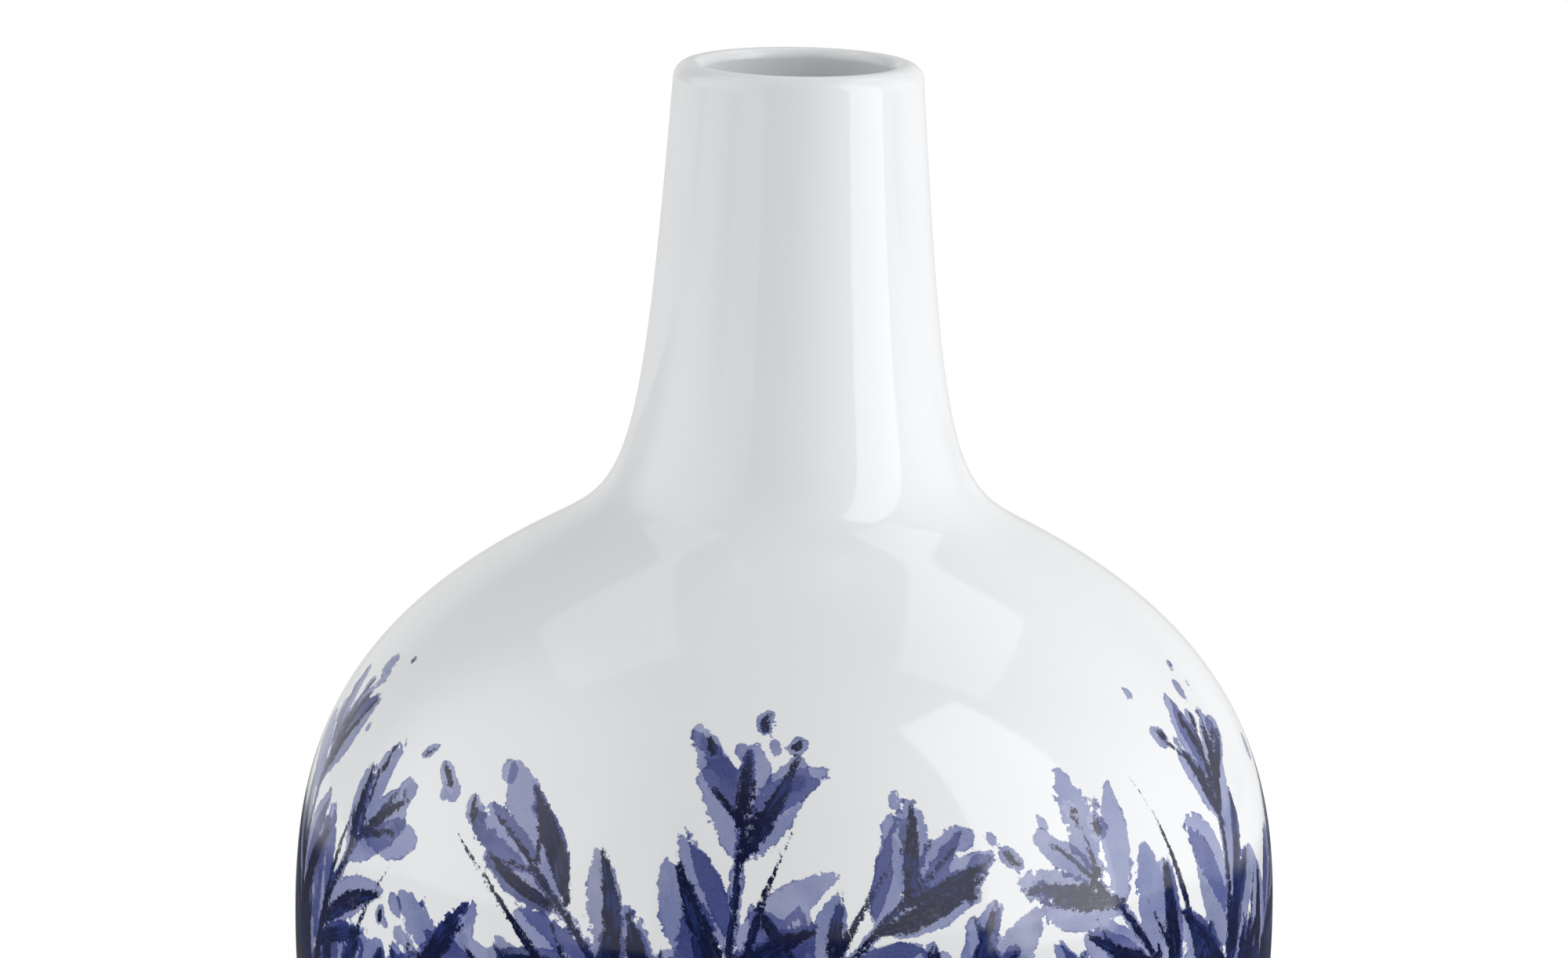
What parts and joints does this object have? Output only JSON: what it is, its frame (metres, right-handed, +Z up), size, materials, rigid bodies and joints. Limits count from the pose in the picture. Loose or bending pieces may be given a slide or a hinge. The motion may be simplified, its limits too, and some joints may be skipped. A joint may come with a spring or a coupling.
{
  "type": "porcelain bottle vase",
  "caption": "Porcelain bottle vase with a wide round body, tall tapered neck and thick rounded lip, white-glazed with indigo brushwork; holds stems or stands as an ornament.",
  "frame": {"origin": "centre of the foot ring's flat face, on the table", "axes": "+Z up along the turning axis, from the foot to the lip; +X and +Y are any two square directions, because the vase is round"},
  "size_m": [0.2, 0.2, 0.3],
  "materials": {
    "white_glaze": "clear glossy glaze over white porcelain",
    "painted_glaze": "clear glossy glaze over white porcelain with indigo brushwork under it",
    "bare_porcelain": "unglazed, sanded smooth on the face that stands on the table",
    "fired_slip": "fired porcelain slip"
  },
  "bodies": {
    "root": {"neck": "white_glaze", "shoulder": "painted_glaze", "lower_body": "painted_glaze", "foot_ring": "bare_porcelain", "neck_slip_seam": "fired_slip", "belly_slip_seam": "fired_slip", "foot_slip_seam": "fired_slip"}
  },
  "joints": []
}
